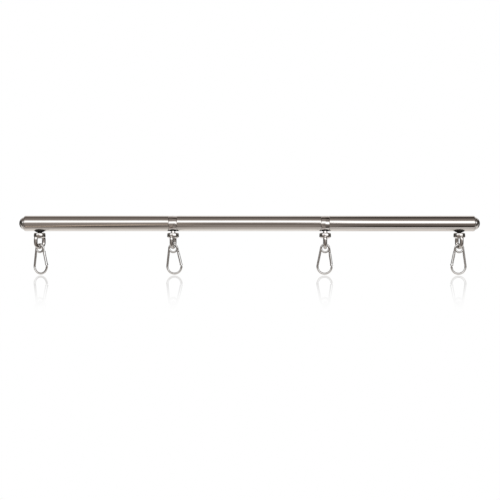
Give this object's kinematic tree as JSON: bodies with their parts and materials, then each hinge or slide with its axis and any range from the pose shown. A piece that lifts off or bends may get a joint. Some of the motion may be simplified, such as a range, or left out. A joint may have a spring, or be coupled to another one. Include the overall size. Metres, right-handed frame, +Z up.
{
  "type": "spreader bar",
  "caption": "Sectional round steel spreader bar with screwed collars, domed ends and swivel eyes that carry gated snap hooks.",
  "frame": {"origin": "middle of the bar on the tube's axis", "axes": "+X along the bar, +Z up, hooks hang towards -Z"},
  "size_m": [0.73, 0.025, 0.0938],
  "materials": {
    "tube_steel": "polished stainless",
    "cap_steel": "mirror polished",
    "collar_steel": "polished stainless",
    "insert_steel": "turned, plain",
    "swivel_steel": "polished, slightly soft edges",
    "saddle_black": "black pad under the tube",
    "fastener_steel": "bright zinc",
    "bronze_washer": "plain bronze",
    "hook_steel": "bright plated wire",
    "gate_steel": "bright plated",
    "spring_steel": "plain spring wire"
  },
  "bodies": {
    "bar": {"tube_left": "tube_steel", "tube_middle": "tube_steel", "tube_right": "tube_steel", "end_cap_left": "cap_steel", "end_cap_right": "cap_steel", "threaded_insert_1": "insert_steel", "threaded_insert_2": "insert_steel", "threaded_insert_3": "insert_steel", "threaded_insert_4": "insert_steel", "joint_collar_left": "collar_steel", "joint_collar_right": "collar_steel", "saddle_washer_left": "saddle_black", "saddle_washer_right": "saddle_black", "clamp_nut_left": "fastener_steel", "clamp_nut_right": "fastener_steel", "swivel_bolt_1": "fastener_steel", "spacer_1": "swivel_steel", "thrust_washer_1": "bronze_washer", "swivel_bolt_2": "fastener_steel", "spacer_2": "swivel_steel", "thrust_washer_2": "bronze_washer", "swivel_bolt_3": "fastener_steel", "spacer_3": "swivel_steel", "thrust_washer_3": "bronze_washer", "swivel_bolt_4": "fastener_steel", "spacer_4": "swivel_steel", "thrust_washer_4": "bronze_washer"},
    "swivel_1": {"swivel_eye_1": "swivel_steel"},
    "hook_1": {"hook_body_1": "hook_steel", "gate_rivet_1": "fastener_steel"},
    "gate_1": {"hook_gate_1": "gate_steel", "gate_spring_1": "spring_steel"},
    "swivel_2": {"swivel_eye_2": "swivel_steel"},
    "hook_2": {"hook_body_2": "hook_steel", "gate_rivet_2": "fastener_steel"},
    "gate_2": {"hook_gate_2": "gate_steel", "gate_spring_2": "spring_steel"},
    "swivel_3": {"swivel_eye_3": "swivel_steel"},
    "hook_3": {"hook_body_3": "hook_steel", "gate_rivet_3": "fastener_steel"},
    "gate_3": {"hook_gate_3": "gate_steel", "gate_spring_3": "spring_steel"},
    "swivel_4": {"swivel_eye_4": "swivel_steel"},
    "hook_4": {"hook_body_4": "hook_steel", "gate_rivet_4": "fastener_steel"},
    "gate_4": {"hook_gate_4": "gate_steel", "gate_spring_4": "spring_steel"}
  },
  "joints": [
    {"name": "swivel_1_turn", "type": "hinge", "parent": "bar", "child": "swivel_1", "pos_m": [-0.3325, 0, -0.018], "axis": [0, 0, 1], "continuous": true},
    {"name": "hook_1_swing", "type": "hinge", "parent": "swivel_1", "child": "hook_1", "pos_m": [-0.3325, 0, -0.038], "axis": [0.6691, 0.7431, 0], "range_deg": [-85, 85]},
    {"name": "gate_1_open", "type": "hinge", "parent": "hook_1", "child": "gate_1", "pos_m": [-0.32531, -0.00308, -0.04467], "axis": [0.3752, 0.9266, -0.0239], "range_deg": [0, 25], "stiffness_Nm_per_rad": 0.02, "springref_deg": -11.46},
    {"name": "swivel_2_turn", "type": "hinge", "parent": "bar", "child": "swivel_2", "pos_m": [-0.1205, 0, -0.018], "axis": [0, 0, 1], "continuous": true},
    {"name": "hook_2_swing", "type": "hinge", "parent": "swivel_2", "child": "hook_2", "pos_m": [-0.1205, 0, -0.038], "axis": [0.2419, 0.9703, 0], "range_deg": [-85, 85]},
    {"name": "gate_2_open", "type": "hinge", "parent": "hook_2", "child": "gate_2", "pos_m": [-0.11268, -0.0005, -0.04465], "axis": [0.0528, 0.9985, -0.0133], "range_deg": [0, 25], "stiffness_Nm_per_rad": 0.02, "springref_deg": -11.46},
    {"name": "swivel_3_turn", "type": "hinge", "parent": "bar", "child": "swivel_3", "pos_m": [0.1205, 0, -0.018], "axis": [0, 0, 1], "continuous": true},
    {"name": "hook_3_swing", "type": "hinge", "parent": "swivel_3", "child": "hook_3", "pos_m": [0.1205, 0, -0.038], "axis": [0, 1, 0], "range_deg": [-85, 85]},
    {"name": "gate_3_open", "type": "hinge", "parent": "hook_3", "child": "gate_3", "pos_m": [0.12767, 0, -0.04536], "axis": [0, 1, 0], "range_deg": [0, 25], "stiffness_Nm_per_rad": 0.02, "springref_deg": -11.46},
    {"name": "swivel_4_turn", "type": "hinge", "parent": "bar", "child": "swivel_4", "pos_m": [0.3325, 0, -0.018], "axis": [0, 0, 1], "continuous": true},
    {"name": "hook_4_swing", "type": "hinge", "parent": "swivel_4", "child": "hook_4", "pos_m": [0.3325, 0, -0.038], "axis": [0.342, -0.9397, 0], "range_deg": [-85, 85]},
    {"name": "gate_4_open", "type": "hinge", "parent": "hook_4", "child": "gate_4", "pos_m": [0.32495, -0.00085, -0.04491], "axis": [0.1047, -0.9945, 0.0084], "range_deg": [0, 25], "stiffness_Nm_per_rad": 0.02, "springref_deg": -11.46}
  ]
}
